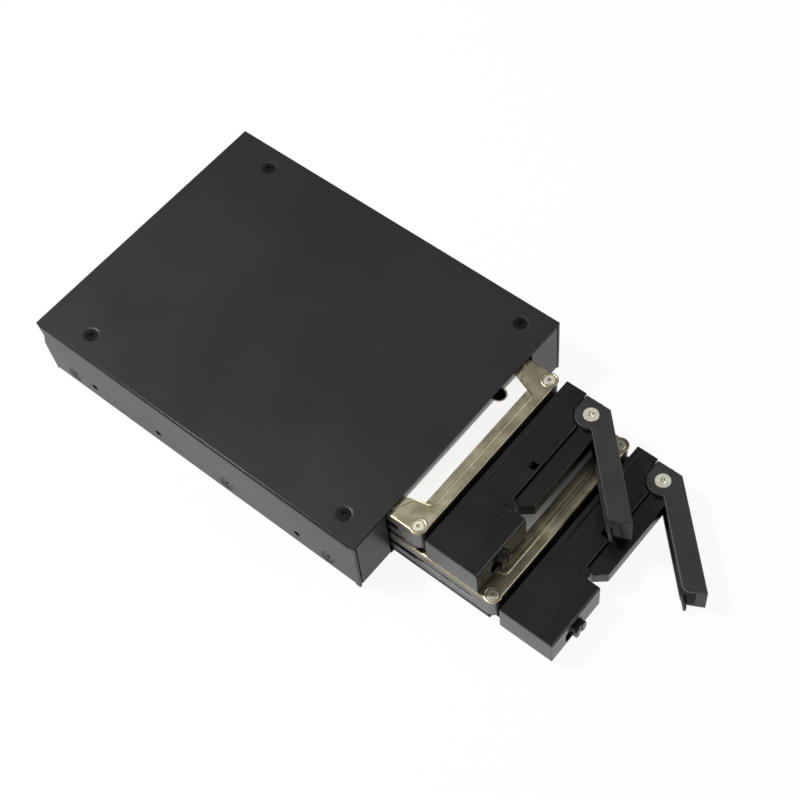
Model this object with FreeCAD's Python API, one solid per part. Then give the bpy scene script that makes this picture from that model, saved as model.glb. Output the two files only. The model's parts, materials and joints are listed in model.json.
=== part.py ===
import FreeCAD, Part
import math
import os

V = FreeCAD.Vector

# All sizes are in millimetres and degrees. The front of the rack faces -Y, +X is to the right seen from
# the front, and the origin is the middle of the housing's bottom face.

# 2.5 inch drive
drive_width = 69.85
drive_length = 100.2
drive_height = 9.5
drive_corner = 3.0
drive_wall = 2.0
drive_floor = 3.6
drive_rear_wall = 11.0
drive_cover_sheet = 0.7
drive_plateau_rise = 0.3
label_thickness = 0.1
drive_mount_side = 4.065       # from the drive's sides to its threads
drive_mount_rear = 14.0        # from the connector end to the nearer pair of threads
drive_mount_span = 76.6        # between the two pairs
cover_screw_inset = 2.6        # from the drive's sides and ends
plateau_front = 2.5            # from the drive's ends to the raised part of its cover
plateau_side = 1.9
plateau_corner_x = 8.4         # corner of the raised part, left free for the cover screw
plateau_corner_y = 9.0
plateau_slope = 3.0
upper_label_front = 5.8        # from the upper drive's ends to its label
lower_label_front = 7.2
label_side = 6.9               # from the drive's sides
label_narrow = 3.0             # how much further in the label's front corners are
label_step = 9.0               # how far behind its front edge the label is at its full width
vent_side = 16.4               # from the drive's right side
vent_behind = 11.8             # from the drive's front end
vent_radius = 2.2
vent_ring = 0.5                # free ring between the vent and the label
drive_board_side = 8.9         # from the drive's sides
drive_board_length = 55.0
drive_board_thick = 1.0
drive_board_recess = 1.2
drive_board_behind = 12.0      # from the drive's connector end to its board
drive_groove_low = 3.0         # groove along each side of the casting, from the drive's underside
drive_groove_high = 5.6
drive_groove_deep = 0.8
drive_groove_end = 9.0

# Drive connector and the socket it plugs into
plug_x = 4.8                   # centre of the connector, off the drive's middle
plug_half = 20.0
plug_low = 1.3                 # from the drive's underside to its connector recess
plug_high = 7.0
plug_recess = 8.5
plug_body = 4.0
tongue_length = 3.9
tongue_thick = 1.2
tongue_short = 10.6
tongue_long = 20.6
tongue_gap = 2.4
socket_clear = 0.5             # socket to the sides of the drive's recess
socket_entry = 4.2             # socket inside the recess when the tray is home
socket_reach = 4.3             # socket between the drive's end and the board
slot_clear = 0.2

# Tray and its front block
tray_side = 0.275              # tray beyond the drive on each side
tray_floor = 1.0
tray_tail = 0.5                # tray floor behind the drive
tray_stand = 4.0               # front of the block ahead of the housing when the tray is home
block_length = 19.4
block_width = 24.0             # left part of the block, as deep as the block is long
drive_gap = 2.0                # block to drive
block_wall = 1.8
block_edge = 0.5               # chamfer along the block's top front edge
panel_recess = 0.45
panel_left = 0.6               # recess edge to the left part
panel_rim = 2.0                # rim behind the recess
top_groove_y = 4.2
top_groove_width = 1.7
top_groove_depth = 0.4
side_notch_length = 3.6        # notch in the floor's left edge, behind the block
square_hole = 2.0
square_hole_deep = 1.1
square_hole_x = 16.0           # from the block's left part
square_hole_y = 9.5
pocket_rib_x = 24.2            # rib between two pockets, from the block's left part

# Lever seat in the tray
seat_gap = 0.5                 # closed lever to the wall behind it
seat_depth = 1.8
shelf_rise = 0.7               # shelf above the lever's hook
notch_back = 4.9               # notch in the shelf beside the left part, for the lever's tip
notch_flat = 2.6
notch_run = 3.2
knuckle_radius = 4.2
pivot_side = 5.5               # pivot to the tray's right side
pivot_y = 6.2                  # pivot behind the block's front

# Lever
lever_open = 45.0
lever_width = 7.0
lever_top = 1.6
lever_bottom = 1.4
lever_under = 0.6              # lever's underside above the tray's underside
lever_wall = 0.9
lever_end_wall = 1.0
lever_end_reach = 3.2
lever_edge = 0.3               # chamfer round the lever's top, and along the shelf
lever_tip_gap = 1.7            # tip to the block's left part
lever_tip_slant = 2.2
lever_tip_round = 3.0
hub_radius = 5.2
claw_reach = 5.1
hub_clear = 0.4
lever_clear = 0.2
hook_back = 0.6
hook_width = 1.0
hook_height = 2.4
hook_reach = 2.3               # hook beyond the lever's tip line

# Lever spring, a coil under the knuckle
lever_wire = 0.25              # radius of the wire
lever_coil = 2.65
lever_coil_pitch = 0.6
lever_coil_turns = 2.5
coil_clear = 0.45
coil_steps = 8                 # straight runs in a turn, and sides of the wire
coil_sides = 4

# Release slider in the left part of the block
slider_travel = 2.5
slider_wall = 1.4              # front wall of the block
slider_high = 7.4
slider_length = 13.5
slider_side = 2.2              # channel's left end to the block's side
slider_under = 0.8
slider_clear = 0.15
nub_width = 5.0
nub_height = 4.6
nub_mid = 4.05
nub_out = 1.9
nub_from_end = 7.4             # nub to the slider's right end
nub_groove = 1.2
nub_groove_depth = 0.35
slot_height = 5.5
slot_spare = 0.3
slot_round = 1.2
nose_out = 2.0
nose_width = 1.6
nose_wall = 0.4                # nose to the channel's rear wall
nose_low = 1.4
nose_height = 2.0
nose_ramp = 1.2
nose_clear = 0.2
slider_wire = 0.175            # radius of the wire
slider_coil = 1.6
slider_coil_turns = 4.0

# Housing of folded sheet, 25.4 high and 136 deep with these sizes
housing_width = 101.6
sheet = 1.0
bend_inside = 0.3
fold_gap = 0.2                 # free edge of a fold to the sheet beside it
fold_relief = 0.6              # slit between a fold and the bend beside it
corner_gap = 0.4               # slit between a flange or the rear panel and the side beside it
rim_gap = 1.2                  # guide to the rim under the cover
tail_foot = 0.2                # foot of each side's rear end beyond its bend
tail_wide = 13.5               # height where that end reaches the rear
tail_notch = 1.6
tail_notch_z = 19.2
opening_side = 0.9             # tray to the front opening's side
cover_edge = 0.5               # chamfer under the cover's edges
cover_screw_in = 0.85          # inward from midway between a guide and the side
cover_screw_front = 10.0
cover_screw_rear = 18.0
mount_z = 6.35
mount_radius = 1.25
mount_front = 25.1             # front mounting hole behind the housing's front
mount_span = 60.0
mount_rear = 21.6              # third mounting hole, from the housing's rear

# Heights inside the housing
ledge_low = 0.5
ledge_mid = 0.8
slide_gap = 0.2
headroom = 0.5

# Tray guides
guide_front = 8.5
guide_rear = 7.0
guide_wall = 1.2
guide_ledge = 3.0
guide_flange = 1.0
guide_rib_drop = 3.6           # rib below the guide's top
guide_rib = 1.2
boss_half = 3.5
guide_screw_rise = 4.6         # above the bottom sheet
guide_screw_rear = 12.0        # from the housing's rear
guide_screw_mid = 55.1         # from the housing's front
guide_screw_front = 12.5

# Board that the drives plug into
board_thick = 1.6
board_side = 0.8               # to the guides
board_under = 1.0              # above the bottom sheet
board_over = 0.7               # below the guides' tops
spacer_length = 11.5
spacer_radius = 2.9            # to the corners of its hexagon
spacer_sides = 6
spacer_side = 4.3              # from the board's sides, bottom and top
spacer_under = 3.0
spacer_over = 2.5
port_clear = 0.3
port_rise = 0.25               # ports' middle above the board's middle
port_height = 7.0
port_depth = 6.0
port_wall = 1.2
data_port_width = 14.0
power_port_width = 26.0
port_gap = 3.5                 # between neighbouring ports
port_tongue = 1.4
port_tongue_side = 2.0

# Screws
screw_sides = 12               # enough for a small screw and its hole to look round
small_sides = 8
case_head = 3.2
case_head_depth = 0.9
case_shank = 1.5
cover_screw_length = 4.0
guide_screw_length = 8.0
pivot_head = 2.6
pivot_head_depth = 1.0
pivot_shank = 1.5
pivot_clear = 0.05
mount_head = 2.5
mount_head_depth = 0.8
mount_shank = 1.5
mount_screw_length = 3.8
small_head = 2.1
small_head_high = 0.35
small_shank = 0.8
small_length = 3.0
board_head = 2.3
board_head_high = 1.5
board_shank = 1.25
board_screw_length = 6.0
board_hole_clear = 0.2
cross_width = 0.22             # cross recess, as shares of the head's radius
cross_reach = 0.6
cross_deep = 0.6               # as a share of the head's depth

# Where the trays stand in the photograph, drawn out from home
upper_pull = 29.7
lower_pull = 57.1

# Worked out from the sizes above
tray_width = drive_width + 2 * tray_side
tray_half = tray_width / 2
tray_height = tray_floor + drive_height
lower_tray_z = sheet + ledge_low + slide_gap
mid_ledge_z = lower_tray_z + tray_height + slide_gap
upper_tray_z = mid_ledge_z + ledge_mid + slide_gap
rim_z = upper_tray_z + tray_height + headroom
housing_height = rim_z + sheet
drive_front = block_length + drive_gap
drive_rear = drive_front + drive_length
tray_length = drive_rear + tray_tail
board_depth = drive_rear - tray_stand + socket_reach
rear_face = board_depth + board_thick + spacer_length
housing_depth = rear_face + sheet
front_y = -housing_depth / 2
rear_y = housing_depth / 2
bend_outside = sheet + bend_inside
fold_run = bend_outside + fold_relief
opening_half = tray_half + opening_side
half_width = housing_width / 2
guide_out = opening_half + guide_wall
rim_x = guide_out + rim_gap
cover_screw_x = (guide_out + half_width) / 2 - cover_screw_in
base_top = tray_floor + drive_height - label_thickness - drive_plateau_rise - drive_cover_sheet
cover_top = base_top + drive_cover_sheet
plateau_top = cover_top + drive_plateau_rise
block_x = block_width - tray_half
pivot_x = tray_half - pivot_side
seat_z = tray_height - seat_depth
shelf_low = lever_under + hook_height + shelf_rise
seat_back = lever_width + seat_gap
top_plate_z = tray_height - lever_top
bottom_plate_z = lever_under + lever_bottom
knuckle_low = bottom_plate_z + lever_clear
shelf_front = lever_wall + lever_clear
nose_front = pivot_y + hook_back - hook_width - lever_clear - nose_width
slider_right = block_x - block_wall - lever_clear
slider_left = slider_right - slider_length
channel_left = slider_side - tray_half
channel_right = block_x - block_wall
channel_back = nose_front + nose_width + nose_wall
nub_right = slider_right - nub_from_end
guide_top = rim_z - sheet - slide_gap
guide_rib_z = guide_top - guide_rib_drop
board_half = opening_half - board_side
board_low = sheet + board_under
board_high = guide_top - board_over
spacer_x = board_half - spacer_side
port_mid = (board_low + board_high) / 2 + port_rise
port_row = 2 * (data_port_width + port_gap) + power_port_width
left_data_x = (data_port_width - port_row) / 2
right_data_x = left_data_x + data_port_width + port_gap
power_port_x = (port_row - power_port_width) / 2
drive_mount_x = drive_width / 2 - drive_mount_side
label_half = drive_width / 2 - label_side
vent_x = drive_width / 2 - vent_side
drive_board_half = drive_width / 2 - drive_board_side
ledge_x = opening_half - guide_ledge
guide_screw_z = sheet + guide_screw_rise


def box(x0, x1, y0, y1, z0, z1):
    return Part.makeBox(x1 - x0, y1 - y0, z1 - z0, V(x0, y0, z0))


def spot(axis, a, b, along):
    """A point from its place along an axis and its two other coordinates, in X, Y, Z order."""
    return {"x": V(along, a, b), "y": V(a, along, b), "z": V(a, b, along)}[axis]


def rod(axis, a, b, radius, start, end):
    way = spot(axis, 0, 0, 1)
    return Part.makeCylinder(radius, end - start, spot(axis, a, b, start), way)


def prism(axis, corners, start, end):
    """A solid with one outline along an axis. A corner is (a, b) or, where it is round, (a, b, radius)."""
    count = len(corners)
    ends = []
    for i, corner in enumerate(corners):
        here = V(corner[0], corner[1], 0)
        back = (here - V(corners[i - 1][0], corners[i - 1][1], 0)).normalize()
        ahead = (V(corners[(i + 1) % count][0], corners[(i + 1) % count][1], 0) - here).normalize()
        if len(corner) == 2:
            ends.append((here, None, here))
            continue
        half_turn = back.getAngle(ahead) / 2
        cut = corner[2] * math.tan(half_turn)
        inward = (ahead - back).normalize()
        middle = here + inward * (corner[2] / math.cos(half_turn) - corner[2])
        ends.append((here - back * cut, middle, here + ahead * cut))
    edges = []
    for i, (first, middle, last) in enumerate(ends):
        stops = (first, middle or first, last, ends[(i + 1) % count][0])
        points = [spot(axis, p.x, p.y, start) for p in stops]
        if middle is not None:
            edges.append(Part.Arc(points[0], points[1], points[2]).toShape())
        edges.append(Part.makeLine(points[2], points[3]))
    return Part.Face(Part.Wire(edges)).extrude(spot(axis, 0, 0, end - start))


def solid(outlines):
    """A solid from the corners of its flat faces."""
    faces = [Part.Face(Part.makePolygon(points + points[:1])) for points in outlines]
    return Part.Solid(Part.Shell(faces))


def fused(shapes):
    return shapes[0].multiFuse(shapes[1:]).removeSplitter()


def eased(shape, z, size):
    """The shape with a chamfer along its edges at one height."""
    edges = [e for e in shape.Edges if abs(e.BoundBox.ZMin - z) + abs(e.BoundBox.ZMax - z) < size / 2]
    return shape.makeChamfer(size, edges)


def at(shape, place, facing):
    """A copy moved from the origin to a place, with its +Z side turned to face a direction."""
    copy = shape.copy()
    copy.Placement = FreeCAD.Placement(place, FreeCAD.Rotation(V(0, 0, 1), facing))
    return copy


def mirrored(shape):
    return shape.mirror(V(0, 0, 0), V(1, 0, 0))


def on_tray(shape, pull, z):
    """Moves a shape built on a tray's own axes (Y from the block's front) to where that tray stands."""
    return shape.translated(V(0, front_y - tray_stand - pull, z))


# Screws, with the top of the head at the origin and the shank pointing down

def cross(head_radius, depth):
    reach = cross_reach * head_radius
    half = cross_width * head_radius / 2
    return fused([box(-reach, reach, -half, half, -depth, 0), box(-half, half, -reach, reach, -depth, 0)])


def peg(low_radius, high_radius, low, high, sides=screw_sides):
    """A straight or tapered pin along Z with few sides, for screws and their holes."""
    turns = [2 * math.pi * i / sides for i in range(sides)]
    bottom = [V(low_radius * math.cos(t), low_radius * math.sin(t), low) for t in turns]
    top = [V(high_radius * math.cos(t), high_radius * math.sin(t), high) for t in turns]
    return solid([bottom, top] + [[bottom[i - 1], bottom[i], top[i], top[i - 1]] for i in range(sides)])


def flat_hole(head_radius, head_depth, shank_radius, length):
    head = peg(shank_radius, head_radius, -head_depth, 0)
    return head.fuse(peg(shank_radius, shank_radius, -length, -head_depth))


def flat_screw(head_radius, head_depth, shank_radius, length):
    body = flat_hole(head_radius, head_depth, shank_radius, length)
    return body.cut(cross(head_radius, cross_deep * head_depth))


def pan_screw(head_radius, head_high, shank_radius, length, sides):
    """A screw whose head stands on the surface at the origin."""
    head = peg(head_radius, head_radius, 0, head_high, sides)
    return head.fuse(peg(shank_radius, shank_radius, -length, 0, sides))


def pivot_form(length, clear):
    """The pivot screw's true round form, or the lever's hole for it with a clearance."""
    radius = pivot_shank + clear
    head = Part.makeCone(radius, pivot_head + clear, pivot_head_depth, V(0, 0, -pivot_head_depth))
    return head.fuse(rod("z", 0, 0, radius, -length, -pivot_head_depth))


def coil(radius, wire, pitch, turns):
    """A helical spring along +Z in short straight runs, standing on the origin's plane."""
    steps = round(turns * coil_steps)
    rings = []
    for i in range(steps + 1):
        turn = 2 * math.pi * i / coil_steps
        ring = []
        for j in range(coil_sides):
            around = 2 * math.pi * j / coil_sides
            reach = radius + wire * math.cos(around)
            rise = wire + wire * math.sin(around) + pitch * i / coil_steps
            ring.append(V(reach * math.cos(turn), reach * math.sin(turn), rise))
        rings.append(ring)
    outlines = [rings[0], rings[-1][::-1]]
    for one, two in zip(rings, rings[1:]):
        for j in range(coil_sides):
            outlines.append([one[j], one[j - 1], two[j - 1]])
            outlines.append([one[j], two[j - 1], two[j]])
    return solid(outlines)


# Places of the housing's screws and holes

def cover_screw_places():
    ys = (front_y + cover_screw_front, rear_y - cover_screw_rear)
    return [V(side * cover_screw_x, y, housing_height) for side in (-1, 1) for y in ys]


def guide_screw_places(side):
    ys = (rear_y - guide_screw_rear, front_y + guide_screw_mid, front_y + guide_screw_front)
    return [V(side * half_width, y, guide_screw_z) for y in ys]


def mount_hole_ys():
    first = front_y + mount_front
    return [first, first + mount_span, rear_y - mount_rear]


def spacer_places():
    heights = (board_low + spacer_under, board_high - spacer_over)
    return [(side * spacer_x, z) for side in (-1, 1) for z in heights]


def guide_screw_hole():
    return flat_hole(case_head, case_head_depth, case_shank, guide_screw_length)


def cover_screw_hole():
    return flat_hole(case_head, case_head_depth, case_shank, cover_screw_length)


# Housing

def base_channel():
    """Bottom, sides and rims in one bent section along Y."""
    inner = half_width - sheet
    outline = [(rim_x, rim_z), (half_width, rim_z, bend_outside), (half_width, 0, bend_outside),
               (-half_width, 0, bend_outside), (-half_width, rim_z, bend_outside), (-rim_x, rim_z),
               (-rim_x, rim_z - sheet), (-inner, rim_z - sheet, bend_inside), (-inner, sheet, bend_inside),
               (inner, sheet, bend_inside), (inner, rim_z - sheet, bend_inside), (rim_x, rim_z - sheet)]
    return prism("y", outline, front_y + fold_run, rear_y - fold_run)


def front_fold():
    """The right front flange, folded up from the bottom beside the opening, and the side's end next to it."""
    start = front_y + fold_run
    outline = [(start, 0), (front_y, 0, bend_outside), (front_y, rim_z - fold_gap),
               (front_y + sheet, rim_z - fold_gap), (front_y + sheet, sheet, bend_inside), (start, sheet)]
    flange = prism("x", outline, opening_half, half_width - sheet - corner_gap)
    end = box(half_width - sheet, half_width, front_y, start, 0, rim_z)
    return [flange, end]


def rear_fold():
    start = rear_y - fold_run
    outline = [(start, 0), (rear_y, 0, bend_outside), (rear_y, rim_z - fold_gap),
               (rear_y - sheet, rim_z - fold_gap), (rear_y - sheet, sheet, bend_inside), (start, sheet)]
    reach = half_width - sheet - corner_gap
    return prism("x", outline, -reach, reach)


def side_tail():
    """End of the right side behind its bends, cut back at its foot and below the cover."""
    start = rear_y - fold_run
    outline = [(start, 0), (start + tail_foot, 0), (rear_y, tail_wide), (rear_y - tail_notch, tail_notch_z),
               (rear_y, rim_z), (start, rim_z)]
    return prism("x", outline, half_width - sheet, half_width)


def port_openings():
    openings = []
    ports = ((left_data_x, data_port_width), (right_data_x, data_port_width),
             (power_port_x, power_port_width))
    for x, width in ports:
        reach = width / 2 + port_clear
        high = port_height / 2 + port_clear
        openings.append(box(x - reach, x + reach, rear_y - sheet, rear_y, port_mid - high, port_mid + high))
    return openings


def housing_base():
    tongue_half = opening_half - fold_gap
    tongue = box(-tongue_half, tongue_half, front_y, front_y + fold_run, 0, sheet)
    right = front_fold() + [side_tail()]
    body = fused([base_channel(), tongue, rear_fold()] + right + [mirrored(s) for s in right])
    holes = [at(cover_screw_hole(), p, V(0, 0, 1)) for p in cover_screw_places()]
    holes += [at(guide_screw_hole(), p, V(side, 0, 0)) for side in (-1, 1) for p in guide_screw_places(side)]
    holes += [rod("x", y, mount_z, mount_radius, -half_width, half_width) for y in mount_hole_ys()]
    return body.cut(holes + port_openings())


def top_cover():
    plate = eased(box(-half_width, half_width, front_y, rear_y, rim_z, housing_height), rim_z, cover_edge)
    return plate.cut([at(cover_screw_hole(), p, V(0, 0, 1)) for p in cover_screw_places()])


def cover_screws():
    screw = flat_screw(case_head, case_head_depth, case_shank, cover_screw_length)
    return Part.makeCompound([at(screw, p, V(0, 0, 1)) for p in cover_screw_places()])


def guide_screws():
    screw = flat_screw(case_head, case_head_depth, case_shank, guide_screw_length)
    places = [(p, V(side, 0, 0)) for side in (-1, 1) for p in guide_screw_places(side)]
    return Part.makeCompound([at(screw, p, facing) for p, facing in places])


def guide_right():
    """Moulded guide: a wall beside the trays, a ledge under each, and bosses that reach the side."""
    start = front_y + guide_front
    end = rear_y - guide_rear
    ledge_end = front_y + board_depth - slide_gap
    outer = half_width - sheet
    pieces = [box(opening_half, guide_out, start, end, sheet, guide_top),
              box(ledge_x, guide_out, start, ledge_end, sheet, sheet + ledge_low),
              box(ledge_x, guide_out, start, ledge_end, mid_ledge_z, mid_ledge_z + ledge_mid),
              box(opening_half, outer - bend_inside, start, end, sheet, sheet + guide_flange),
              box(opening_half, outer, start, end, guide_rib_z, guide_rib_z + guide_rib)]
    places = guide_screw_places(1)
    pieces += [box(opening_half, outer, p.y - boss_half, p.y + boss_half, p.z - boss_half, p.z + boss_half)
               for p in places]
    body = fused(pieces)
    return body.cut([at(guide_screw_hole(), p, V(1, 0, 0)) for p in places])


# Board and connectors at the rear

def backplane_board():
    start = front_y + board_depth
    plate = box(-board_half, board_half, start, start + board_thick, board_low, board_high)
    radius = board_shank + board_hole_clear
    hole = peg(radius, radius, -board_thick, 0)
    return plate.cut([at(hole, V(x, start, z), V(0, -1, 0)) for x, z in spacer_places()])


def board_spacers():
    """Hexagonal standoffs on the rear panel."""
    start = front_y + board_depth + board_thick
    body = peg(spacer_radius, spacer_radius, -spacer_length, 0, spacer_sides)
    spacer = body.cut(peg(board_shank, board_shank, board_thick - board_screw_length, 0))
    return Part.makeCompound([at(spacer, V(x, start, z), V(0, -1, 0)) for x, z in spacer_places()])


def board_screws():
    screw = pan_screw(board_head, board_head_high, board_shank, board_screw_length, screw_sides)
    face = front_y + board_depth
    return Part.makeCompound([at(screw, V(x, face, z), V(0, -1, 0)) for x, z in spacer_places()])


def tongues(start, end, grow):
    """The connector's two tongues from the drive's end, larger by a clearance where they are slots."""
    first = plug_x - (tongue_short + tongue_gap + tongue_long) / 2
    second = first + tongue_short + tongue_gap
    mid = tray_floor + (plug_low + plug_high) / 2
    half = tongue_thick / 2 + grow
    return [box(x - grow, x + width + grow, start, end, mid - half, mid + half)
            for x, width in ((first, tongue_short), (second, tongue_long))]


def drive_socket(tray_z):
    board_face = front_y + board_depth
    front = board_face - socket_reach - socket_entry
    reach = plug_half - socket_clear
    low = tray_z + tray_floor + plug_low + socket_clear
    high = tray_z + tray_floor + plug_high - socket_clear
    body = box(plug_x - reach, plug_x + reach, front, board_face, low, high)
    slots = tongues(front, front + tongue_length + slot_clear, slot_clear)
    return body.cut([s.translated(V(0, 0, tray_z)) for s in slots])


def rear_port(x, width):
    """A shell on the back of the board, open at the rear panel, with a contact tongue inside."""
    start = front_y + board_depth + board_thick
    reach = width / 2
    low = port_mid - port_height / 2
    high = port_mid + port_height / 2
    body = box(x - reach, x + reach, start, rear_y, low, high)
    inside = box(x - reach + port_wall, x + reach - port_wall, rear_y - port_depth, rear_y,
                 low + port_wall, high - port_wall)
    half = port_tongue / 2
    side = reach - port_wall - port_tongue_side
    tongue = box(x - side, x + side, rear_y - port_depth, rear_y - port_wall,
                 port_mid - half, port_mid + half)
    return fused([body.cut(inside), tongue])


# Tray, on its own axes

def hub_room(z0, z1):
    """Room for the lever's hub and claw round the pivot."""
    radius = hub_radius + hub_clear
    beside = box(pivot_x, tray_half, 0, pivot_y + radius, z0, z1)
    return fused([rod("z", pivot_x, pivot_y, radius, z0, z1), beside])


def tray_block():
    body = fused([box(-tray_half, tray_half, seat_back, block_length, 0, tray_height),
                  box(-tray_half, block_x, 0, block_length, 0, tray_height)])
    middle = box(pivot_x - hub_clear, tray_half, 0, pivot_y + hub_radius + hub_clear, knuckle_low, seat_z)
    panel = box(block_x + panel_left, tray_half - block_wall, seat_back, block_length - panel_rim,
                tray_height - panel_recess, tray_height)
    groove_end = top_groove_y + top_groove_width
    groove = box(-tray_half + panel_left, block_x - panel_left, top_groove_y, groove_end,
                 tray_height - top_groove_depth, tray_height)
    half = square_hole / 2
    middle_x = block_x + square_hole_x
    hole = box(middle_x - half, middle_x + half, square_hole_y - half, square_hole_y + half,
               tray_height - panel_recess - square_hole_deep, tray_height)
    front = [(0, tray_height - block_edge), (block_edge, tray_height), (0, tray_height)]
    edge = prism("x", front, -tray_half, block_x)
    hub = [hub_room(seat_z, tray_height), hub_room(0, knuckle_low), middle]
    return body.cut(hub + [panel, groove, hole, edge])


def tray_hollows():
    """Pockets in the block's underside, with ribs left between them."""
    top = seat_z - lever_clear
    back = block_length - block_wall
    half = block_wall / 2
    rib = block_x + pocket_rib_x
    left = box(channel_left, block_x - block_wall, channel_back + block_wall, back, 0, top)
    middle = box(block_x + half, rib - half, seat_back + block_wall, back, 0, top)
    hub_wall = pivot_x - hub_radius - hub_clear - block_wall
    right = box(rib + half, hub_wall, seat_back + block_wall, back, 0, top)
    return [left, middle, right]


def tray_shelf():
    """Shelf under the closed lever's top plate, the raised corner at its left end and the knuckle."""
    flat_x = block_x + notch_flat
    outline = [(block_x, notch_back), (flat_x, notch_back), (flat_x + notch_run, shelf_front),
               (pivot_x, shelf_front), (pivot_x, seat_back), (block_x, seat_back)]
    shelf = eased(prism("z", outline, shelf_low, seat_z), seat_z, lever_edge)
    slope = lever_tip_slant / lever_width
    corner_x = block_x + lever_tip_gap - lever_clear
    corner = prism("z", [(block_x, notch_back), (corner_x + slope * notch_back - lever_clear, notch_back),
                         (corner_x + slope * seat_back - lever_clear, seat_back), (block_x, seat_back)],
                   shelf_low, tray_height - panel_recess)
    knuckle = rod("z", pivot_x, pivot_y, knuckle_radius, knuckle_low, seat_z)
    return [shelf, corner, knuckle]


def slider_room():
    """Channel for the slider, the slot in front of it and the window for its nose."""
    channel = box(channel_left, channel_right, slider_wall, channel_back, 0, slider_high)
    slot_right = nub_right + lever_clear
    slot_left = nub_right - nub_width - slider_travel - slot_spare
    low = nub_mid - slot_height / 2
    high = nub_mid + slot_height / 2
    slot = prism("y", [(slot_left, low, slot_round), (slot_right, low, slot_round),
                       (slot_right, high, slot_round), (slot_left, high, slot_round)], 0, slider_wall)
    window = box(channel_right, block_x, nose_front - nose_clear, nose_front + nose_width + nose_clear,
                 nose_low - nose_clear, nose_low + nose_height + nose_clear)
    return [channel, slot, window]


def drive_mount_places():
    rear = drive_rear - drive_mount_rear
    return [V(side * drive_mount_x, y, 0) for side in (-1, 1) for y in (rear, rear - drive_mount_span)]


def drive_mount_hole():
    return flat_hole(mount_head, mount_head_depth, mount_shank, mount_screw_length)


def tray():
    floor = box(-tray_half, tray_half, block_length - block_wall, tray_length, 0, tray_floor)
    floor = floor.cut(box(-tray_half, block_wall - tray_half, block_length, block_length + side_notch_length,
                          0, tray_floor))
    body = fused([tray_block().cut(tray_hollows() + slider_room()), floor] + tray_shelf())
    shank = rod("z", pivot_x, pivot_y, pivot_shank, 0, tray_height)
    spring_top = knuckle_low + lever_coil_pitch * lever_coil_turns + 2 * lever_wire + lever_clear
    outer = rod("z", pivot_x, pivot_y, lever_coil + lever_wire + coil_clear, knuckle_low, spring_top)
    inner = rod("z", pivot_x, pivot_y, lever_coil - lever_wire - coil_clear, knuckle_low, spring_top)
    screws = [at(drive_mount_hole(), p, V(0, 0, -1)) for p in drive_mount_places()]
    return body.cut([shank, outer.cut(inner)] + screws)


# Lever, built closed and then turned open

def lever_plan(z0, z1):
    """The lever's outline seen from above, closed: bar, claw and hub."""
    turn = math.radians(lever_open)
    across = (math.cos(turn), math.sin(turn))
    behind = (math.sin(turn), -math.cos(turn))
    inner = pivot_y - lever_width
    tip = block_x + lever_tip_gap - pivot_x
    start = ((claw_reach - pivot_y * across[1]) / across[0], pivot_y)
    foot = (hub_radius * behind[0], hub_radius * behind[1])
    point = (foot[0] + claw_reach * across[0], foot[1] + claw_reach * across[1])
    plan = [(tip, pivot_y), start, point, foot, (0, 0), (0, inner),
            (tip + lever_tip_slant, inner, lever_tip_round)]
    corners = [(pivot_x + c[0], pivot_y - c[1]) + tuple(c[2:]) for c in plan]
    return fused([prism("z", corners, z0, z1), rod("z", pivot_x, pivot_y, hub_radius, z0, z1)])


def lever_walls(z0, z1):
    """What joins the two plates: the outer wall, the end wall and the claw's post."""
    whole = lever_plan(z0, z1)
    tip = block_x + lever_tip_gap
    slope = lever_tip_slant / lever_width
    outer = box(tip, pivot_x, 0, lever_wall, z0, z1)
    end_x = tip + slope * lever_end_reach
    end = prism("z", [(tip, 0), (tip + lever_end_wall, 0), (end_x + lever_end_wall, lever_end_reach),
                      (end_x, lever_end_reach)], z0, z1)
    post = box(pivot_x, tray_half + hub_radius, 0, pivot_y + hub_radius, z0, z1)
    ahead = rod("z", pivot_x, pivot_y, hub_radius + claw_reach, z0, z1)
    turned = box(pivot_x, pivot_x + ahead.BoundBox.XLength, pivot_y - ahead.BoundBox.YLength,
                 pivot_y + ahead.BoundBox.YLength, z0, z1)
    turned.rotate(V(pivot_x, pivot_y, 0), V(0, 0, 1), -lever_open)
    post = post.common(turned).cut(rod("z", pivot_x, pivot_y, knuckle_radius + lever_clear, z0, z1))
    return [whole.common(s) for s in (outer, end, post)]


def lever_hook():
    slope = lever_tip_slant / lever_width
    back = pivot_y + hook_back
    front = back - hook_width
    tip = block_x + lever_tip_gap + slope * back
    return box(tip - hook_reach, tip + hook_reach, front, back, lever_under, lever_under + hook_height)


def lever():
    plates = [lever_plan(top_plate_z, tray_height), lever_plan(lever_under, bottom_plate_z)]
    whole = fused(plates + lever_walls(lever_under, tray_height) + [lever_hook()])
    body = eased(whole, tray_height, lever_edge)
    body = body.cut(pivot_form(tray_height, pivot_clear).translated(V(pivot_x, pivot_y, tray_height)))
    body.rotate(V(pivot_x, pivot_y, 0), V(0, 0, 1), lever_open)
    return body


def pivot_screw():
    screw = pivot_form(tray_height - lever_under, 0).cut(cross(pivot_head, cross_deep * pivot_head_depth))
    return screw.translated(V(pivot_x, pivot_y, tray_height))


def lever_spring():
    spring = coil(lever_coil, lever_wire, lever_coil_pitch, lever_coil_turns)
    return spring.translated(V(pivot_x, pivot_y, knuckle_low))


# Release slider

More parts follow.
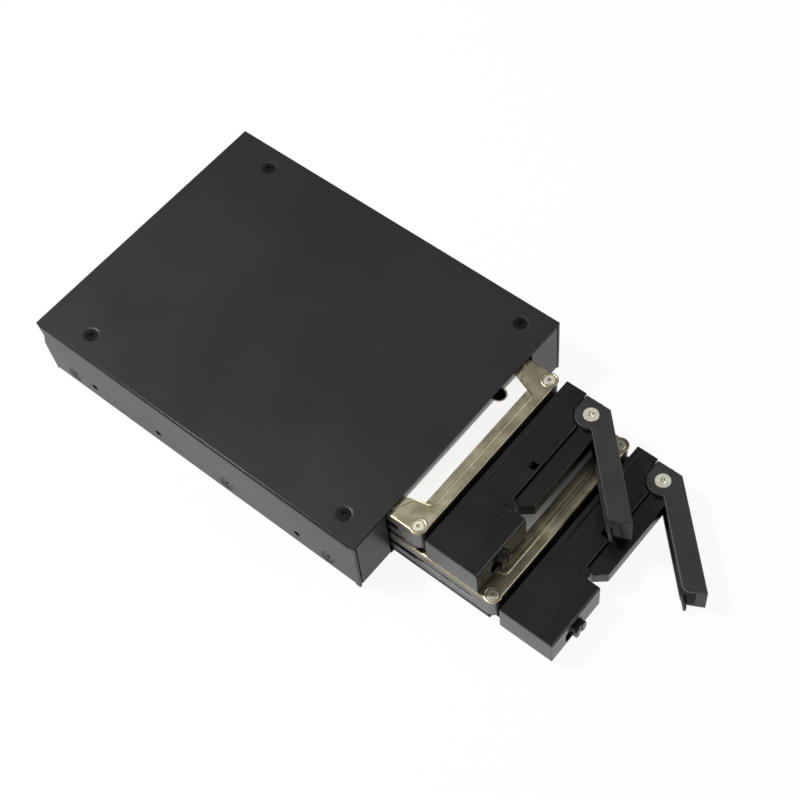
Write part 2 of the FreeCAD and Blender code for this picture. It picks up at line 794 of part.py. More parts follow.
def release_slider():
    front = slider_wall + slider_clear
    plate = box(slider_left, slider_right, front, channel_back - slider_clear,
                slider_under, slider_high - slider_clear)
    low = nub_mid - nub_height / 2
    high = nub_mid + nub_height / 2
    middle = nub_right - nub_width / 2
    nub_left = nub_right - nub_width
    nub = prism("y", [(nub_left, low, slot_round), (nub_right, low, slot_round),
                      (nub_right, high, slot_round), (nub_left, high, slot_round)], -nub_out, front)
    groove = box(middle - nub_groove / 2, middle + nub_groove / 2, -nub_out, nub_groove_depth - nub_out,
                 low, high)
    tip = block_x + nose_out
    nose_back = nose_front + nose_width
    nose = prism("z", [(slider_right, nose_front), (tip - nose_ramp, nose_front),
                       (tip, nose_front + nose_ramp), (tip, nose_back), (slider_right, nose_back)],
                 nose_low, nose_low + nose_height)
    return fused([plate, nub.cut(groove), nose])


def slider_spring():
    """Coil between the channel's left end and the slider."""
    room = slider_left - channel_left
    pitch = (room - 2 * slider_wire) / slider_coil_turns
    spring = coil(slider_coil, slider_wire, pitch, slider_coil_turns)
    middle = (slider_wall + channel_back) / 2
    return at(spring, V(channel_left, middle, slider_high / 2), V(1, 0, 0))


# Drive, on the tray's axes

def drive_outline(start, end, corner):
    reach = drive_width / 2
    return [(-reach, start, corner), (reach, start, corner), (reach, end, corner), (-reach, end, corner)]


def drive_screw_places():
    reach = drive_width / 2 - cover_screw_inset
    return [V(side * reach, y, cover_top) for side in (-1, 1)
            for y in (drive_front + cover_screw_inset, drive_rear - cover_screw_inset)]


def drive_base():
    low = tray_floor
    body = prism("z", drive_outline(drive_front, drive_rear, drive_corner), low, base_top)
    reach = drive_width / 2 - drive_wall
    front = drive_front + drive_wall
    back = drive_rear - drive_rear_wall
    tub = box(-reach, reach, front, back, low + drive_floor, base_top)
    board_end = drive_rear - drive_board_behind
    board_room = box(-drive_board_half, drive_board_half, board_end - drive_board_length, board_end,
                     low, low + drive_board_recess)
    plug_room = box(plug_x - plug_half, plug_x + plug_half, drive_rear - plug_recess, drive_rear,
                    low + plug_low, low + plug_high)
    groove_start = drive_front + drive_groove_end
    groove_end = drive_rear - drive_groove_end
    side = drive_width / 2
    groove = box(side - drive_groove_deep, side, groove_start, groove_end,
                 low + drive_groove_low, low + drive_groove_high)
    shank = peg(small_shank, small_shank, -small_length, 0, small_sides)
    screws = [shank.translated(p) for p in drive_screw_places()]
    screws += [at(drive_mount_hole(), p, V(0, 0, -1)) for p in drive_mount_places()]
    return body.cut([tub, board_room, plug_room, groove, mirrored(groove)] + screws)


def drive_cover():
    """Cover sheet with a raised middle that leaves the corners free for the screws."""
    sheet_part = prism("z", drive_outline(drive_front, drive_rear, drive_corner), base_top, cover_top)
    side = drive_width / 2 - plateau_side
    corner = drive_width / 2 - plateau_corner_x
    outline = []
    for sx, sy in ((-1, -1), (1, -1), (1, 1), (-1, 1)):
        end = drive_front if sy < 0 else drive_rear
        low = end - sy * plateau_front
        high = end - sy * plateau_corner_y
        bend = plateau_slope / 2
        steps = [(sx * side, high - sy * plateau_slope, bend), (sx * corner, high, bend),
                 (sx * (corner - bend), low, bend)]
        outline += steps if sx * sy > 0 else steps[::-1]
    plateau = prism("z", outline, cover_top, plateau_top)
    vent = rod("z", vent_x, drive_front + vent_behind, vent_radius, base_top, plateau_top)
    shank = peg(small_shank, small_shank, -small_length, 0, small_sides)
    return fused([sheet_part, plateau]).cut([vent] + [shank.translated(p) for p in drive_screw_places()])


def drive_label(end_gap):
    start = drive_front + end_gap
    end = drive_rear - end_gap
    front = label_half - label_narrow
    outline = [(-front, start), (front, start), (label_half, start + label_step),
               (label_half, end), (-label_half, end), (-label_half, start + label_step)]
    top = plateau_top + label_thickness
    vent = rod("z", vent_x, drive_front + vent_behind, vent_radius + vent_ring, plateau_top, top)
    return prism("z", outline, plateau_top, top).cut(vent)


def drive_cover_screws():
    screw = pan_screw(small_head, small_head_high, small_shank, small_length, small_sides)
    return Part.makeCompound([at(screw, p, V(0, 0, 1)) for p in drive_screw_places()])


def drive_board():
    end = drive_rear - drive_board_behind
    start = end - drive_board_length
    top = tray_floor + drive_board_recess
    return box(-drive_board_half, drive_board_half, start, end, top - drive_board_thick, top)


def drive_connector():
    start = drive_rear - plug_recess
    face = start + plug_body
    low = tray_floor + plug_low
    body = box(plug_x - plug_half, plug_x + plug_half, start, face, low, tray_floor + plug_high)
    return fused([body] + tongues(face, face + tongue_length, 0))


def drive_mount_screws():
    screw = drive_mount_hole()
    return Part.makeCompound([at(screw, p, V(0, 0, -1)) for p in drive_mount_places()])


# Files, one for each node

os.makedirs("parts", exist_ok=True)
housing_base().exportStep("parts/housing_base.step")
top_cover().exportStep("parts/top_cover.step")
cover_screws().exportStep("parts/cover_screws.step")
guide_right().exportStep("parts/guide_right.step")
mirrored(guide_right()).exportStep("parts/guide_left.step")
guide_screws().exportStep("parts/guide_screws.step")
backplane_board().exportStep("parts/backplane_board.step")
drive_socket(upper_tray_z).exportStep("parts/upper_drive_socket.step")
drive_socket(lower_tray_z).exportStep("parts/lower_drive_socket.step")
rear_port(left_data_x, data_port_width).exportStep("parts/left_data_port.step")
rear_port(right_data_x, data_port_width).exportStep("parts/right_data_port.step")
rear_port(power_port_x, power_port_width).exportStep("parts/power_port.step")
board_spacers().exportStep("parts/board_spacers.step")
board_screws().exportStep("parts/board_screws.step")
tray_nodes = {"tray": tray(), "lever": lever(), "pivot_screw": pivot_screw(), "lever_spring": lever_spring(),
              "release_slider": release_slider(), "slider_spring": slider_spring(),
              "drive_base": drive_base(), "drive_cover": drive_cover(),
              "drive_cover_screws": drive_cover_screws(), "drive_board": drive_board(),
              "drive_connector": drive_connector(), "drive_mount_screws": drive_mount_screws()}
for name, shape in tray_nodes.items():
    on_tray(shape, upper_pull, upper_tray_z).exportStep("parts/upper_" + name + ".step")
    on_tray(shape, lower_pull, lower_tray_z).exportStep("parts/lower_" + name + ".step")
on_tray(drive_label(upper_label_front), upper_pull, upper_tray_z).exportStep("parts/upper_drive_label.step")
on_tray(drive_label(lower_label_front), lower_pull, lower_tray_z).exportStep("parts/lower_drive_label.step")
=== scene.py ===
# %% [markdown]
# # A rack for two small hard drives
# The real object is a flat steel box with two plastic trays drawn out of its front, each with a drive on
# it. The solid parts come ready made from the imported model. This lesson gives them their finishes, eases
# their edges, and adds what is too fine for the solids: screw recesses, stamped drive covers and contact
# strips.

# %% Load the solid parts
import bmesh
import bpy
import json
import math
from mathutils import Matrix, Vector


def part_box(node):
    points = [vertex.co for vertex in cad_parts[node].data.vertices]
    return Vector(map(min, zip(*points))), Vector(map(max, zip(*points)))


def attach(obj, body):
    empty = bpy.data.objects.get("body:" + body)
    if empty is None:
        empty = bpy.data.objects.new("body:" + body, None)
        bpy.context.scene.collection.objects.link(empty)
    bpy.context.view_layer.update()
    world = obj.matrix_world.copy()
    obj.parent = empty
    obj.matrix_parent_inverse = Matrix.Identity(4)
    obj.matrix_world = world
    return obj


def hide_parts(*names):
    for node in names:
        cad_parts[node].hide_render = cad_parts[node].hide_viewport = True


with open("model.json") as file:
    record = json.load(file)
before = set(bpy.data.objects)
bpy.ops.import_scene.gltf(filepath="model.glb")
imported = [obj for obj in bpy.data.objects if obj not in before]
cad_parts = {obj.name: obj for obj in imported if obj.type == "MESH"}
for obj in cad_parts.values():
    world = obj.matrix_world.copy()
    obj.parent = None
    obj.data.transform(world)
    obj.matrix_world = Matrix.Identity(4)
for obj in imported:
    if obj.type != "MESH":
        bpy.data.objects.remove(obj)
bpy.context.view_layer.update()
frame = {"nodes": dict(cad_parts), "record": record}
scene = bpy.context.scene
levels = ("upper", "lower")
nodes_of_body = frame["record"]["behaviour"]["bodies"]
body_of_node = {node: body for body, nodes in nodes_of_body.items() for node in nodes}

# %% [markdown]
# ## Three small tools for materials
# A colour is written as people write it, in sRGB hex, but Blender's shaders count in linear light, so one
# function turns the first into the second. A second one adds a node with its options, its values and its
# links, which keeps each material below short enough to read at a glance. A third one turns the real size
# of a pattern into the scale of a texture.

# %% Colour and node tools
MM = 0.001


def colour(code):
    """The linear red, green, blue and alpha of an sRGB code such as #808080."""
    parts = [int(code[i:i + 2], 16) / 255 for i in (1, 3, 5)]
    return tuple(p / 12.92 if p <= 0.04045 else ((p + 0.055) / 1.055) ** 2.4 for p in parts) + (1.0,)


def add(tree, kind, options=None, sockets=None):
    """A new node. A socket takes a value, or a link where it is given the output of another node."""
    made = tree.nodes.new(kind)
    for name, value in (options or {}).items():
        setattr(made, name, value)
    for name, value in (sockets or {}).items():
        if isinstance(value, bpy.types.NodeSocket):
            tree.links.new(value, made.inputs[name])
        else:
            made.inputs[name].default_value = value
    return made


def grain(size_mm):
    """The texture scale that gives a pattern of this size on Object coordinates, which are in metres."""
    return 1 / (size_mm * MM)


print("middle grey in linear light:", [round(c, 3) for c in colour("#808080")])

# %% [markdown]
# ## One recipe for every finish
# Each finish here is a base colour that drifts a little, a roughness that drifts with it, and a fine grain
# in the surface. The recipe takes the two colours, the sizes in millimetres and the two roughnesses. The
# values of a noise texture crowd round its middle, so only a middle band of them is spread over the colours
# and the roughnesses. A constant such as metallic is set on the shader's own socket.

# %% The recipe, and the first finish
shade_band = (0.35, 0.65)
gloss_band = (0.3, 0.7)


def finish(name, dark, light, patch_mm, rough, grain_mm, depth_mm, constants):
    material = bpy.data.materials.new(name)
    material.use_nodes = True
    tree = material.node_tree
    tree.nodes.clear()
    place = add(tree, "ShaderNodeTexCoord").outputs["Object"]
    patch = add(tree, "ShaderNodeTexNoise", None,
                {"Vector": place, "Scale": grain(patch_mm), "Detail": 4.0})
    shade = add(tree, "ShaderNodeValToRGB", None, {"Fac": patch.outputs["Fac"]})
    for stop, position, code in zip(shade.color_ramp.elements, shade_band, (dark, light)):
        stop.position = position
        stop.color = colour(code)
    gloss = add(tree, "ShaderNodeMapRange", None,
                {"Value": patch.outputs["Fac"], "From Min": gloss_band[0], "From Max": gloss_band[1],
                 "To Min": rough[0], "To Max": rough[1]})
    speck = add(tree, "ShaderNodeTexNoise", None,
                {"Vector": place, "Scale": grain(grain_mm), "Detail": 2.0})
    bump = add(tree, "ShaderNodeBump", None,
               {"Height": speck.outputs["Fac"], "Strength": 1.0, "Distance": depth_mm * MM})
    shader = add(tree, "ShaderNodeBsdfPrincipled", None,
                 {"Base Color": shade.outputs["Color"], "Roughness": gloss.outputs["Result"],
                  "Normal": bump.outputs["Normal"], **constants})
    add(tree, "ShaderNodeOutputMaterial", None, {"Surface": shader.outputs["BSDF"]})
    return material


# Powder coat is paint powder, baked on. Its soft orange peel, about a millimetre across, spreads every
# reflection, so the sheet is dark grey and satin.
powder_coat = finish("powder_coated_steel", "#1c1c1e", "#202022", patch_mm=45, rough=(0.34, 0.42),
                     grain_mm=0.9, depth_mm=0.004, constants={"IOR": 1.5})
print("nodes in the powder coat:", len(powder_coat.node_tree.nodes))

# %% [markdown]
# ## The other finishes of this rack
# Each finish starts from what the real one is: black zinc plate, ABS moulded in a spark-eroded tool, nickel
# on steel, cast aluminium, coated paper. Typical values of IOR, metallic and roughness come first and are
# then matched to the object. A grain finer than about 0.3 mm would not show at this distance, so it is
# drawn that coarse.

# %% Painted shade for the cover's cut edge, and the black screws
# Painted shade: the cover's cut edge is coloured nearly black, so that it reads as one dark line with the
# shaded gap below it.
painted_shade_edge_coat = finish("painted_shade_on_cut_edge", "#040405", "#060607", patch_mm=20, rough=(0.38, 0.46),
                       grain_mm=0.9, depth_mm=0.004, constants={"IOR": 1.2})
# Black zinc plate is a thin dark film with a weak gloss, so these screws are darker than the paint.
black_zinc = finish("black_zinc_plate", "#0a0a0b", "#0f0f10", patch_mm=1.5, rough=(0.3, 0.38),
                    grain_mm=0.3, depth_mm=0.003, constants={"IOR": 1.36})
print("dark finishes:", painted_shade_edge_coat.name, black_zinc.name)

# %% Moulded plastics
# The trays are ABS with a fine grain from the tool. The resin's own skin, which is the weak coat here,
# gives a deep black with a broad sheen.
tray_abs = finish("moulded_black_abs", "#070707", "#0b0b0a", patch_mm=14, rough=(0.28, 0.34),
                  grain_mm=0.35, depth_mm=0.004,
                  constants={"IOR": 1.5, "Coat Weight": 0.25, "Coat Roughness": 0.22})
# The grain of the levers is coarser. It scatters the light, which makes the black matt and greyer.
lever_abs = finish("matt_black_abs", "#262525", "#2b2a2a", patch_mm=9, rough=(0.44, 0.52),
                   grain_mm=0.4, depth_mm=0.008, constants={"IOR": 1.5})
# The guides inside are plain ABS, an even black with hardly any sheen.
guide_abs = finish("plain_black_abs", "#121212", "#171717", patch_mm=20, rough=(0.45, 0.55),
                   grain_mm=0.4, depth_mm=0.008, constants={"IOR": 1.54})
# Connectors are moulded in a stiff, filled plastic, which is dull and a little uneven.
connector_plastic = finish("black_connector_plastic", "#111111", "#181818", patch_mm=4, rough=(0.4, 0.52),
                           grain_mm=0.3, depth_mm=0.006, constants={"IOR": 1.6})
print("plastics:", tray_abs.name, lever_abs.name, guide_abs.name, connector_plastic.name)

# %% Metals
# Nickel plate on small screws is a pale, warm grey and satin, so light spreads over the whole head.
nickel_plate = finish("nickel_plated_steel", "#dad8c8", "#e8e6d8", patch_mm=1.2, rough=(0.52, 0.6),
                      grain_mm=0.3, depth_mm=0.002, constants={"Metallic": 1.0})
# A drive's cover is plated sheet. Rolling and stamping leave straw-coloured patches of uneven shine.
stamped_cover = finish("stamped_plated_cover", "#a9a085", "#cac2a5", patch_mm=5, rough=(0.37, 0.42),
                       grain_mm=0.5, depth_mm=0.001, constants={"Metallic": 1.0})
# Cast aluminium is a dull grey with a slightly pitted skin.
cast_aluminium = finish("cast_aluminium", "#757573", "#8a8a88", patch_mm=5, rough=(0.4, 0.55),
                        grain_mm=0.5, depth_mm=0.02, constants={"Metallic": 0.9})
# Turned brass is a bright yellow, with faint tool marks that are drawn as a grain.
brass = finish("turned_brass", "#a8873f", "#bb9a52", patch_mm=2, rough=(0.25, 0.38),
               grain_mm=0.4, depth_mm=0.006, constants={"Metallic": 1.0})
# Drawn spring wire is smooth and bright, and darker than nickel.
spring_wire = finish("bright_spring_wire", "#8d8c88", "#a5a49f", patch_mm=1.5, rough=(0.25, 0.35),
                     grain_mm=0.3, depth_mm=0.003, constants={"Metallic": 1.0})
# A flash of gold keeps contacts bright: a clear yellow with a small, sharp gleam.
contact_gold = finish("gold_flashed_contact", "#c79a3c", "#d6ad55", patch_mm=1, rough=(0.2, 0.3),
                      grain_mm=0.3, depth_mm=0.002, constants={"Metallic": 1.0})
print("metals:", nickel_plate.name, stamped_cover.name, cast_aluminium.name, brass.name)

# %% Paper and circuit board
# Coated label paper is near white, with a faint, even sheen.
label_paper = finish("coated_label_paper", "#e8e8e5", "#eeeeec", patch_mm=12, rough=(0.42, 0.55),
                     grain_mm=0.3, depth_mm=0.003, constants={"IOR": 1.5})
# Solder mask is a glossy green lacquer that dips and rises over the copper below it.
board_mask = finish("green_solder_mask", "#143a24", "#1c4a2e", patch_mm=3, rough=(0.3, 0.42),
                    grain_mm=0.8, depth_mm=0.02, constants={"IOR": 1.52})
print("paper and board:", label_paper.name, board_mask.name)

# %% [markdown]
# ## Each solid part gets its finish
# A part whose shape is already right keeps its own mesh and only takes a material. The table goes by the
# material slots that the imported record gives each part, so no part is missed. The levers and the springs
# share a slot with other parts but have a finish of their own.

# %% Assign the finishes
finish_of_slot = {"coated_steel": powder_coat, "black_screw": black_zinc, "guide_plastic": guide_abs,
                  "tray_plastic": tray_abs, "circuit_board": board_mask,
                  "connector_plastic": connector_plastic, "brass_spacer": brass,
                  "plated_steel": nickel_plate, "drive_casting": cast_aluminium,
                  "drive_cover_sheet": stamped_cover, "label_paper": label_paper}
slot_of_node = {part["node"]: part["material_slot"] for part in frame["record"]["subparts"]}
finish_of_node = {node: finish_of_slot[slot] for node, slot in slot_of_node.items()}
for node in frame["nodes"]:
    if node.endswith("_lever"):
        finish_of_node[node] = lever_abs
    if node.endswith("_spring"):
        finish_of_node[node] = spring_wire
for node, part in frame["nodes"].items():
    part.data.materials.clear()
    part.data.materials.append(finish_of_node[node])
print("parts with a finish:", len(finish_of_node))

# %% [markdown]
# ## Eased edges
# No real edge is perfectly sharp: a moulded edge has a small radius, and a sheet edge is rounded by its
# paint. That thin round is what catches the light, so it is worth real faces. A copy of each solid is
# merged and its flat faces are joined, and then its outer edges are bevelled where there is room for it.
# Normals weighted by area keep the wide faces flat while the narrow bevels shade as rounds. The copy stands
# in for the solid, which keeps its mesh.

# %% A working copy of a solid
merge_gap = 0.001
flat_angle = 1


def merged(node):
    """A copy of a solid's mesh in millimetres, with its loose triangles joined."""
    shape = bmesh.new()
    shape.from_mesh(frame["nodes"][node].data)
    bmesh.ops.scale(shape, vec=(1 / MM, 1 / MM, 1 / MM), verts=shape.verts)
    bmesh.ops.remove_doubles(shape, verts=shape.verts, dist=merge_gap)
    return shape


def with_whole_faces(node):
    """That copy, with the triangles of each flat face made one face."""
    shape = merged(node)
    bmesh.ops.dissolve_limit(shape, angle_limit=math.radians(flat_angle), verts=shape.verts,
                             edges=shape.edges)
    return shape


sample = with_whole_faces("top_cover")
triangles = frame["nodes"]["top_cover"].data.polygons
print("top cover:", len(triangles), "triangles in", len(sample.faces), "faces")
sample.free()

# %% Round the outer edges
bevel_steps = 3
bevel_room = 1.15
least_turn = 32
# The lower edge of the cover is chamfered at 45 degrees in its solid. A larger least turn leaves that
# alone, so that the upper edge has room for its round.
cover_least_turn = 60
edge_width = {"housing_base": 0.18, "top_cover": 0.42}
for level in levels:
    edge_width.update({level + "_tray": 0.26, level + "_lever": 0.2, level + "_release_slider": 0.3,
                       level + "_drive_base": 0.25})


def breadth(face):
    """About how wide a face is, measured across its longest side."""
    return face.calc_area() / max(e.calc_length() for e in face.edges)


def round_edges(shape, width_mm, turn):
    """Bevels the outer edges that turn enough, are long enough and lie between faces with room for it."""
    sharp = {e for e in shape.edges if len(e.link_faces) == 2 and e.is_convex
             and e.calc_face_angle() > math.radians(turn) and e.calc_length() > 2 * width_mm}

    def has_room(face):
        longest = max(e.calc_length() for e in face.edges)
        sides = [e for e in face.edges if e in sharp and e.calc_length() > longest / 2]
        return breadth(face) > bevel_room * width_mm * min(2, len(sides))

    clear = [e for e in sharp if all(has_room(f) for f in e.link_faces)]
    bmesh.ops.bevel(shape, geom=clear, offset=width_mm, offset_type="OFFSET", segments=bevel_steps,
                    profile=0.5, affect="EDGES", clamp_overlap=False)


sample = with_whole_faces("top_cover")
sharp_count = len(sample.faces)
round_edges(sample, edge_width["top_cover"], cover_least_turn)
print("top cover:", sharp_count, "faces with sharp edges,", len(sample.faces), "with round ones")
sample.free()

# %% [markdown]
# ## The square hole in each tray
# Each tray has a small square hole in its top that looks black, because it is deep. The solid has a shallow
# one, so here it is cut deeper: a block joined under it gives it walls in the hollow of the moulding, and a
# second block cuts it. Booleans are safest on closed shapes in millimetres.

# %% Blocks and booleans
def through(mesh, kind, settings):
    """The mesh that a modifier makes of this one. The modifier and its holder are taken away again."""
    holder = bpy.data.objects.new("holder", mesh)
    scene.collection.objects.link(holder)
    modifier = holder.modifiers.new("step", kind)
    for name, value in settings.items():
        setattr(modifier, name, value)
    made = bpy.data.meshes.new_from_object(holder.evaluated_get(bpy.context.evaluated_depsgraph_get()))
    bpy.data.objects.remove(holder)
    return made


def plain(shape):
    """The mesh of a shape, as it is."""
    mesh = bpy.data.meshes.new("plain")
    shape.to_mesh(mesh)
    shape.free()
    return mesh


def boolean(mesh, tool, operation):
    """The mesh after a boolean with a second shape."""
    other = bpy.data.objects.new("tool", plain(tool))
    scene.collection.objects.link(other)
    made = through(mesh, "BOOLEAN", {"object": other, "operation": operation, "solver": "MANIFOLD"})
    bpy.data.objects.remove(other)
    return made


def block(low, high):
    """A box between two corners."""
    shape = bmesh.new()
    bmesh.ops.create_cube(shape, size=1)
    bmesh.ops.scale(shape, vec=high - low, verts=shape.verts)
    bmesh.ops.translate(shape, vec=(low + high) / 2, verts=shape.verts)
    return shape


sample = boolean(plain(block(Vector((0, 0, 0)), Vector((3, 3, 3)))),
                 block(Vector((1, 1, 1)), Vector((2, 2, 4))), "DIFFERENCE")
print("a block with a square hole has", len(sample.vertices), "corners")
bpy.data.meshes.remove(sample)

# %% The deeper hole
# How far the floor of the solid's hole lies below the top of the tray, and how far it goes down from there.
hole_floor = 1.55
hole_deeper = 2.6
hole_wall = 0.5
hole_overlap = 0.2
level_within = 0.01
facing_up = 0.99


def deepened(shape, rim):
    """A tray with its square hole cut deeper and crisp, and a wall round it in the hollow below."""
    floor_z = max(v.co.z for v in shape.verts) - hole_floor
    corners = [v.co for f in shape.faces for v in f.verts
               if f.normal.z > facing_up and abs(f.calc_center_median().z - floor_z) < level_within]
    low, high = (Vector(pick(c[i] for c in corners) for i in range(3)) for pick in (min, max))
    around = Vector((rim, rim, 0))
    wall = Vector((rim + hole_wall, rim + hole_wall, 0))
    down = Vector((0, 0, hole_deeper))
    below = Vector((0, 0, hole_wall))
    overlap = Vector((0, 0, hole_overlap))
    above = Vector((0, 0, hole_floor))
    mesh = boolean(plain(shape), block(low - wall - down - below, high + wall - overlap), "UNION")
    mesh = boolean(mesh, block(low - around - down, high + around + above), "DIFFERENCE")
    cut = bmesh.new()
    cut.from_mesh(mesh)
    print("square hole:", [round(side, 2) for side in (high - low + 2 * around).xy], "mm")
    return cut


print("the hole's floor goes down by", hole_deeper, "mm")

# %% Ease the edges
sharp_angle = 35
normal_weight = 70


def to_mesh(name, shape):
    """The finished mesh of a shape drawn in millimetres."""
    bmesh.ops.scale(shape, vec=(MM, MM, MM), verts=shape.verts)
    rough = bpy.data.meshes.new(name)
    shape.to_mesh(rough)
    shape.free()
    rough.shade_smooth()
    rough.set_sharp_from_angle(angle=math.radians(sharp_angle))
    mesh = through(rough, "WEIGHTED_NORMAL",
                   {"mode": "FACE_AREA", "weight": normal_weight, "keep_sharp": True})
    mesh.name = name
    return mesh


def new_piece(name, mesh, body, material, stands_for=()):
    """An object with this material that rides on a body. The solids it stands for, if any, are hidden."""
    mesh.materials.clear()
    mesh.materials.append(material)
    piece = bpy.data.objects.new(name, mesh)
    scene.collection.objects.link(piece)
    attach(piece, body)
    if stands_for:
        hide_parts(*stands_for)
    return piece


def eased(node, width_mm):
    shape = with_whole_faces(node)
    round_edges(shape, width_mm, cover_least_turn if node == "top_cover" else least_turn)
    if node.endswith("_tray"):
        shape = deepened(shape, width_mm)
    mesh = to_mesh(node + "_eased", shape)
    return new_piece(node + "_eased", mesh, body_of_node[node], finish_of_node[node], [node])


for node, width in edge_width.items():
    piece = eased(node, width)
    print(piece.name, "faces:", len(piece.data.polygons))

# %% [markdown]
# ## Painted shade on the cut edge of the cover
# Along its two sides the cover ends in a cut edge just above the fold of the housing. The edge and the
# shaded gap below it look like one dark line, so the faces that look sideways take painted shade: a nearly
# black colour in place of the coat.

# %% Paint shade on the cut edge
sideways = 0.8
cover = bpy.data.objects["top_cover_eased"].data
cover.materials.append(painted_shade_edge_coat)
# The faces that look sideways take the second slot, the nearly black painted shade.
for face in cover.polygons:
    face.material_index = 1 if abs(face.normal.x) > sideways else 0
print("faces on the cover's cut edge:", sum(face.material_index for face in cover.polygons))

# %% [markdown]
# ## Screws
# All the rack's screws are one shape in several sizes: a head, a shank and a cross recess. That is a rule,
# so a Geometry Nodes tree makes them. The head is what two cones share: one gives its side, and the other
# the chamfer round its top. Two crossed bars cut the recess. The tree stands a screw on every point, turns
# it to face the way the point says, and turns each recess by chance, as a screwdriver leaves it, with a
# fixed seed. The points are read from the solid screws, so each head sits where its solid is. The small
# screws of the drives have a star recess, and a short, wide cross looks the same at their size.

# %% A tree with named sizes
def new_tree(name, sizes):
    """An empty tree that takes points, some sizes and a material, with its group input."""
    tree = bpy.data.node_groups.new(name, "GeometryNodeTree")
    tree.interface.new_socket("Geometry", in_out="INPUT", socket_type="NodeSocketGeometry")
    for size in sizes:
        tree.interface.new_socket(size, in_out="INPUT", socket_type="NodeSocketFloat")
    tree.interface.new_socket("Material", in_out="INPUT", socket_type="NodeSocketMaterial")
    tree.interface.new_socket("Geometry", in_out="OUTPUT", socket_type="NodeSocketGeometry")
    return tree, add(tree, "NodeGroupInput").outputs


screw_sizes = ("Top Radius", "Foot Radius", "Foot Height", "Head Height", "Edge", "Shank Radius",
               "Shank Length", "Recess Width", "Recess Reach", "Recess Depth")
screw_tree, given = new_tree("screws", screw_sizes)
print("sizes of a screw:", len(screw_sizes))

# %% The head
head_points = 40
# The crown is a little lower than the side, so that the tops of the two cones don't lie in one plane.
crown_share = 0.97

crown_radius = add(screw_tree, "ShaderNodeMath", {"operation": "SUBTRACT"},
                   {0: given["Top Radius"], 1: given["Edge"]})
crown_height = add(screw_tree, "ShaderNodeMath", {"operation": "MULTIPLY"},
                   {0: given["Head Height"], 1: crown_share})
crown_foot = add(screw_tree, "ShaderNodeMath", {"operation": "ADD"},
                 {0: crown_radius.outputs[0], 1: given["Head Height"]})
side_sizes = (given["Foot Radius"], given["Top Radius"], given["Head Height"])
crown_sizes = (crown_foot.outputs[0], crown_radius.outputs[0], crown_height.outputs[0])
lift = add(screw_tree, "ShaderNodeCombineXYZ", None, {"Z": given["Foot Height"]})
head = add(screw_tree, "GeometryNodeMeshBoolean", {"operation": "INTERSECT", "solver": "MANIFOLD"})
for foot_radius, top_radius, height in (side_sizes, crown_sizes):
    cone = add(screw_tree, "GeometryNodeMeshCone", None,
               {"Vertices": head_points, "Radius Top": top_radius, "Radius Bottom": foot_radius,
                "Depth": height})
    cone = add(screw_tree, "GeometryNodeTransform", None,
               {"Geometry": cone.outputs["Mesh"], "Translation": lift.outputs[0]})
    screw_tree.links.new(cone.outputs[0], head.inputs["Mesh 2"])
print("nodes up to the head:", len(screw_tree.nodes))

# %% The shank
shank_points = 24
# The height of the shank's middle over the head's foot, as a share of the shank's length. It is less than
# half down, so that the shank enters the head.
shank_middle = -0.48

shank = add(screw_tree, "GeometryNodeMeshCylinder", None,
            {"Vertices": shank_points, "Radius": given["Shank Radius"], "Depth": given["Shank Length"]})
half_down = add(screw_tree, "ShaderNodeMath", {"operation": "MULTIPLY_ADD"},
                {0: given["Shank Length"], 1: shank_middle, 2: given["Foot Height"]})
drop = add(screw_tree, "ShaderNodeCombineXYZ", None, {"Z": half_down.outputs[0]})
shank = add(screw_tree, "GeometryNodeTransform", None,
            {"Geometry": shank.outputs["Mesh"], "Translation": drop.outputs[0]})
whole = add(screw_tree, "GeometryNodeMeshBoolean", {"operation": "UNION", "solver": "MANIFOLD"},
            {"Mesh 2": head.outputs["Mesh"]})
screw_tree.links.new(shank.outputs[0], whole.inputs["Mesh 2"])
print("nodes up to the shank:", len(screw_tree.nodes))

# %% The recess
# Half of each bar's height lies above the head. One bar is a little deeper, so that their floors don't lie
# in one plane.
bar_heights = (2.0, 2.1)

top = add(screw_tree, "ShaderNodeMath", {"operation": "ADD"},
          {0: given["Foot Height"], 1: given["Head Height"]})
rise = add(screw_tree, "ShaderNodeCombineXYZ", None, {"Z": top.outputs[0]})
bar_length = add(screw_tree, "ShaderNodeMath", {"operation": "MULTIPLY"},
                 {0: given["Recess Reach"], 1: 2.0})
cut = add(screw_tree, "GeometryNodeMeshBoolean", {"operation": "DIFFERENCE", "solver": "MANIFOLD"},
          {"Mesh 1": whole.outputs["Mesh"]})
for (along, across), height in zip(("XY", "YX"), bar_heights):
    deep = add(screw_tree, "ShaderNodeMath", {"operation": "MULTIPLY"},
               {0: given["Recess Depth"], 1: height})
    size = add(screw_tree, "ShaderNodeCombineXYZ", None,
               {along: bar_length.outputs[0], across: given["Recess Width"], "Z": deep.outputs[0]})
    bar = add(screw_tree, "GeometryNodeMeshCube", None, {"Size": size.outputs[0]})
    bar = add(screw_tree, "GeometryNodeTransform", None,
              {"Geometry": bar.outputs["Mesh"], "Translation": rise.outputs[0]})
    screw_tree.links.new(bar.outputs[0], cut.inputs["Mesh 2"])
print("nodes up to the recess:", len(screw_tree.nodes))

